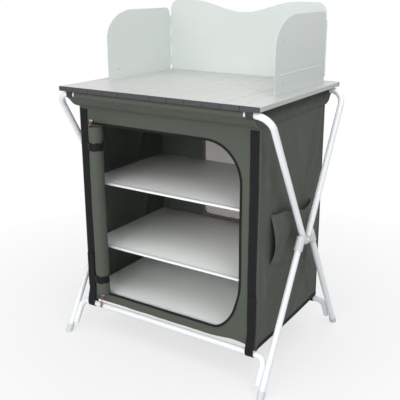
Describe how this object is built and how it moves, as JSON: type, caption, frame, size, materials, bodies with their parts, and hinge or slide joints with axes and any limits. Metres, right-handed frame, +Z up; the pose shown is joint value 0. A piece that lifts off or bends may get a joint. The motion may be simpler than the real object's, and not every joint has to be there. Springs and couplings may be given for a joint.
{
  "type": "camp kitchen table",
  "caption": "Folding camp kitchen table with a roll-up slatted top, a folding windscreen, a scissor frame of bent tube and a cloth cabinet with shelves.",
  "frame": {"origin": "on the ground, midway between the four feet", "axes": "+Z up, the open front faces -Y and +X is to the right of someone facing the front"},
  "size_m": [0.774, 0.5752, 1.0972],
  "materials": {
    "slat": "satin anodised aluminium, with dark grey plastic end caps",
    "screen": "pale grey-green powder coat",
    "bright_metal": "plated steel",
    "tube": "white powder coat",
    "hub": "moulded light grey plastic",
    "foot": "moulded grey plastic",
    "saddle": "moulded black plastic",
    "cloth": "dark olive grey coated polyester weave",
    "mesh": "black open net",
    "webbing": "black woven tape",
    "zip_pull": "dull red cord and grip",
    "shelf_board": "fibreboard with light grey laminate",
    "shelf_trim": "white plastic channel"
  },
  "bodies": {
    "pivots": {"pivot_rivets": "bright_metal"},
    "front_top_frame": {"front_top_bar": "tube", "front_saddles": "saddle", "front_bar_sleeve": "cloth", "hub_outer_left": "hub", "hub_outer_right": "hub", "rear_leg_left": "tube", "rear_leg_right": "tube", "rear_crossbar": "tube", "rear_feet": "foot"},
    "rear_top_frame": {"rear_top_bar": "tube", "rear_saddles": "saddle", "rear_bar_sleeve": "cloth", "hub_inner_left": "hub", "hub_inner_right": "hub", "front_leg_left": "tube", "front_leg_right": "tube", "front_crossbar": "tube", "front_feet": "foot"},
    "cabinet": {"skirt": "cloth", "cabinet_front_cloth": "cloth", "cabinet_left_cloth": "cloth", "cabinet_right_cloth": "cloth", "cabinet_back_cloth": "cloth", "cabinet_floor_cloth": "cloth", "mesh_window": "mesh", "corner_webbing": "webbing", "hem_binding": "webbing", "side_pocket": "cloth", "door_roll": "cloth", "roll_straps": "webbing", "zip_tape": "webbing", "upper_zip_slider": "bright_metal", "lower_zip_slider": "bright_metal"},
    "upper_pull": {"upper_zip_pull": "zip_pull"},
    "lower_pull": {"lower_zip_pull": "zip_pull"},
    "windscreen": {"windscreen_back": "screen", "windscreen_hinge_pins": "bright_metal"},
    "left_wing": {"windscreen_wing_left": "screen", "wing_rivets_left": "bright_metal"},
    "right_wing": {"windscreen_wing_right": "screen", "wing_rivets_right": "bright_metal"},
    "bottom_board": {"bottom_shelf": "shelf_board", "bottom_shelf_trim": "shelf_trim"},
    "middle_board": {"middle_shelf": "shelf_board", "middle_shelf_trim": "shelf_trim"},
    "top_board": {"top_shelf": "shelf_board", "top_shelf_trim": "shelf_trim"},
    "table_top": {"slat_06": "slat"},
    "slat_body_01": {"slat_01": "slat"},
    "slat_body_02": {"slat_02": "slat"},
    "slat_body_03": {"slat_03": "slat"},
    "slat_body_04": {"slat_04": "slat"},
    "slat_body_05": {"slat_05": "slat"},
    "slat_body_07": {"slat_07": "slat"},
    "slat_body_08": {"slat_08": "slat"},
    "slat_body_09": {"slat_09": "slat"},
    "slat_body_10": {"slat_10": "slat"},
    "slat_body_11": {"slat_11": "slat"},
    "slat_body_12": {"slat_12": "slat"}
  },
  "joints": [
    {"name": "table_top_lift", "type": "slide", "parent": "pivots", "child": "table_top", "axis": [0, 0, 1], "range_m": [0, 0.7]},
    {"name": "front_frame_fold", "type": "hinge", "parent": "pivots", "child": "front_top_frame", "pos_m": [0, 0, 0.404], "axis": [-1, 0, 0], "range_deg": [0, 28], "deforming": ["skirt", "cabinet_front_cloth", "cabinet_left_cloth", "cabinet_right_cloth", "cabinet_back_cloth", "cabinet_floor_cloth", "mesh_window", "corner_webbing", "hem_binding", "side_pocket", "door_roll", "roll_straps", "zip_tape"]},
    {"name": "rear_frame_fold", "type": "hinge", "parent": "pivots", "child": "rear_top_frame", "pos_m": [0, 0, 0.404], "axis": [1, 0, 0], "range_deg": [0, 28]},
    {"name": "cabinet_rise", "type": "slide", "parent": "pivots", "child": "cabinet", "axis": [0, 0, 1], "range_m": [0, 0.07]},
    {"name": "bottom_board_slide", "type": "slide", "parent": "cabinet", "child": "bottom_board", "axis": [0, -1, 0], "range_m": [0, 0.45]},
    {"name": "middle_board_slide", "type": "slide", "parent": "cabinet", "child": "middle_board", "axis": [0, -1, 0], "range_m": [0, 0.45]},
    {"name": "top_board_slide", "type": "slide", "parent": "cabinet", "child": "top_board", "axis": [0, -1, 0], "range_m": [0, 0.45]},
    {"name": "windscreen_lift", "type": "slide", "parent": "table_top", "child": "windscreen", "axis": [0, 0, 1], "range_m": [0, 0.15]},
    {"name": "left_wing_fold", "type": "hinge", "parent": "windscreen", "child": "left_wing", "pos_m": [-0.303, 0.2575, 0.85], "axis": [0, 0, 1], "range_deg": [0, 90]},
    {"name": "right_wing_fold", "type": "hinge", "parent": "windscreen", "child": "right_wing", "pos_m": [0.303, 0.254, 0.85], "axis": [0, 0, -1], "range_deg": [0, 90]},
    {"name": "upper_pull_swing", "type": "hinge", "parent": "cabinet", "child": "upper_pull", "pos_m": [-0.276, -0.2209, 0.739], "axis": [-1, 0, 0], "range_deg": [0, 90]},
    {"name": "lower_pull_swing", "type": "hinge", "parent": "cabinet", "child": "lower_pull", "pos_m": [-0.262, -0.2209, 0.1412], "axis": [-1, 0, 0], "range_deg": [0, 76]},
    {"name": "slat_07_curl", "type": "hinge", "parent": "table_top", "child": "slat_body_07", "pos_m": [0, 0, 0.836], "axis": [0, 1, 0], "range_deg": [0, 25]},
    {"name": "slat_08_curl", "type": "hinge", "parent": "slat_body_07", "child": "slat_body_08", "pos_m": [0.05833, 0, 0.836], "axis": [0, 1, 0], "range_deg": [0, 25]},
    {"name": "slat_09_curl", "type": "hinge", "parent": "slat_body_08", "child": "slat_body_09", "pos_m": [0.11667, 0, 0.836], "axis": [0, 1, 0], "range_deg": [0, 25]},
    {"name": "slat_10_curl", "type": "hinge", "parent": "slat_body_09", "child": "slat_body_10", "pos_m": [0.175, 0, 0.836], "axis": [0, 1, 0], "range_deg": [0, 25]},
    {"name": "slat_11_curl", "type": "hinge", "parent": "slat_body_10", "child": "slat_body_11", "pos_m": [0.23333, 0, 0.836], "axis": [0, 1, 0], "range_deg": [0, 25]},
    {"name": "slat_12_curl", "type": "hinge", "parent": "slat_body_11", "child": "slat_body_12", "pos_m": [0.29167, 0, 0.836], "axis": [0, 1, 0], "range_deg": [0, 25]},
    {"name": "slat_05_curl", "type": "hinge", "parent": "table_top", "child": "slat_body_05", "pos_m": [-0.05833, 0, 0.836], "axis": [0, -1, 0], "range_deg": [0, 25]},
    {"name": "slat_04_curl", "type": "hinge", "parent": "slat_body_05", "child": "slat_body_04", "pos_m": [-0.11667, 0, 0.836], "axis": [0, -1, 0], "range_deg": [0, 25]},
    {"name": "slat_03_curl", "type": "hinge", "parent": "slat_body_04", "child": "slat_body_03", "pos_m": [-0.175, 0, 0.836], "axis": [0, -1, 0], "range_deg": [0, 25]},
    {"name": "slat_02_curl", "type": "hinge", "parent": "slat_body_03", "child": "slat_body_02", "pos_m": [-0.23333, 0, 0.836], "axis": [0, -1, 0], "range_deg": [0, 25]},
    {"name": "slat_01_curl", "type": "hinge", "parent": "slat_body_02", "child": "slat_body_01", "pos_m": [-0.29167, 0, 0.836], "axis": [0, -1, 0], "range_deg": [0, 25]}
  ],
  "couplings": [
    {"joint": "front_frame_fold", "follows": "table_top_lift", "rad_per_m": 0.69806},
    {"joint": "rear_frame_fold", "follows": "table_top_lift", "rad_per_m": 0.69806},
    {"joint": "cabinet_rise", "follows": "table_top_lift", "ratio": 0.09999},
    {"joint": "bottom_board_slide", "follows": "table_top_lift", "ratio": 0.64279},
    {"joint": "middle_board_slide", "follows": "table_top_lift", "ratio": 0.64279},
    {"joint": "top_board_slide", "follows": "table_top_lift", "ratio": 0.64279},
    {"joint": "slat_07_curl", "follows": "table_top_lift", "rad_per_m": 0.62327},
    {"joint": "slat_08_curl", "follows": "table_top_lift", "rad_per_m": 0.62327},
    {"joint": "slat_09_curl", "follows": "table_top_lift", "rad_per_m": 0.62327},
    {"joint": "slat_10_curl", "follows": "table_top_lift", "rad_per_m": 0.62327},
    {"joint": "slat_11_curl", "follows": "table_top_lift", "rad_per_m": 0.62327},
    {"joint": "slat_12_curl", "follows": "table_top_lift", "rad_per_m": 0.62327},
    {"joint": "slat_05_curl", "follows": "table_top_lift", "rad_per_m": 0.62327},
    {"joint": "slat_04_curl", "follows": "table_top_lift", "rad_per_m": 0.62327},
    {"joint": "slat_03_curl", "follows": "table_top_lift", "rad_per_m": 0.62327},
    {"joint": "slat_02_curl", "follows": "table_top_lift", "rad_per_m": 0.62327},
    {"joint": "slat_01_curl", "follows": "table_top_lift", "rad_per_m": 0.62327}
  ]
}
